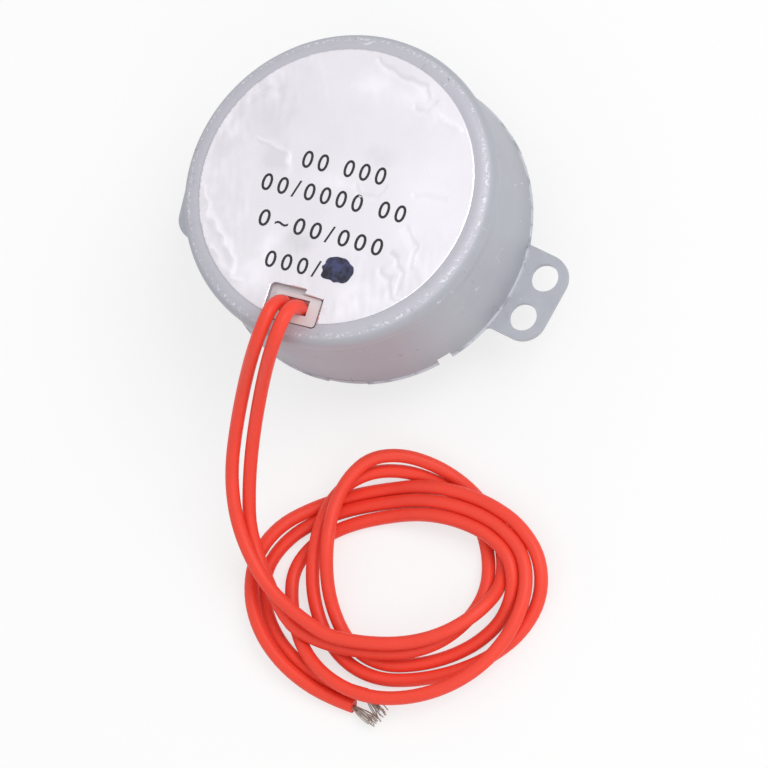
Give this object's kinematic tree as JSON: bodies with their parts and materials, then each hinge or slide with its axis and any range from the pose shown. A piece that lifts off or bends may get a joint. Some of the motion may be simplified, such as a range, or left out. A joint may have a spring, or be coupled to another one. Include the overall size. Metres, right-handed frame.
{
  "type": "geared synchronous motor",
  "caption": "Round flat geared synchronous motor: steel can with foil label on its rear, plate with two ears, flatted output shaft, and a pair of red leads laid in a loose coil",
  "frame": {"origin": "centre of the mounting face of the front plate, on the output shaft axis", "axes": "+X through the main ear holes, +Z from the mounting face to the label, leads leave towards -Y"},
  "size_m": [0.0759, 0.0962, 0.0361],
  "materials": {
    "zinc_steel": "zinc-plated sheet, satin",
    "label_foil": "dented foil with printed characters",
    "nylon_white": "moulded",
    "magnet_ferrite": "sintered ferrite",
    "copper": "enamelled wire, wound",
    "tape": "polyester tape",
    "acetal": "moulded gears",
    "hub_plastic": "moulded hub",
    "pin_steel": "ground",
    "shaft_steel": "turned",
    "bush_brass": "sintered bearing",
    "lead_red": "insulated stranded wire",
    "tinned_copper": "tinned strands"
  },
  "bodies": {
    "motor": {"rear_case": "zinc_steel", "front_plate": "zinc_steel", "stator_plate": "zinc_steel", "rear_label": "label_foil", "lead_bushing": "nylon_white", "coil_bobbin": "nylon_white", "coil_winding": "copper", "winding_tape": "tape", "rotor_pin": "pin_steel", "rotor_spacer": "bush_brass", "rear_washer": "acetal", "output_bush": "bush_brass", "thrust_washer": "acetal", "first_gear_pin": "pin_steel", "second_gear_pin": "pin_steel", "third_gear_pin": "pin_steel", "lead_1": "lead_red", "lead_2": "lead_red", "lead_1_coil": "lead_red", "lead_2_coil": "lead_red", "lead_1_strands": "tinned_copper", "lead_2_strands": "tinned_copper"},
    "output": {"output_shaft": "shaft_steel", "output_gear": "acetal"},
    "third": {"third_gear": "acetal"},
    "second": {"second_gear": "acetal"},
    "first": {"first_gear": "acetal"},
    "rotor": {"rotor_magnet": "magnet_ferrite", "rotor_hub": "hub_plastic"}
  },
  "joints": [
    {"name": "output_spin", "type": "hinge", "parent": "motor", "child": "output", "pos_m": [0, 0, 0], "axis": [0, 0, 1], "continuous": true},
    {"name": "third_gear_spin", "type": "hinge", "parent": "motor", "child": "third", "pos_m": [0.00762, -0.00723, 0], "axis": [0, 0, 1], "continuous": true},
    {"name": "second_gear_spin", "type": "hinge", "parent": "motor", "child": "second", "pos_m": [-0.00269, -0.01108, 0], "axis": [0, 0, 1], "continuous": true},
    {"name": "first_gear_spin", "type": "hinge", "parent": "motor", "child": "first", "pos_m": [-0.01015, -0.00369, 0], "axis": [0, 0, 1], "continuous": true},
    {"name": "rotor_spin", "type": "hinge", "parent": "motor", "child": "rotor", "pos_m": [0, 0, 0], "axis": [0, 0, 1], "continuous": true}
  ],
  "couplings": [
    {"joint": "third_gear_spin", "follows": "output_spin", "ratio": -2.5},
    {"joint": "second_gear_spin", "follows": "output_spin", "ratio": 6.6667},
    {"joint": "first_gear_spin", "follows": "output_spin", "ratio": -16.667},
    {"joint": "rotor_spin", "follows": "output_spin", "ratio": 50}
  ]
}
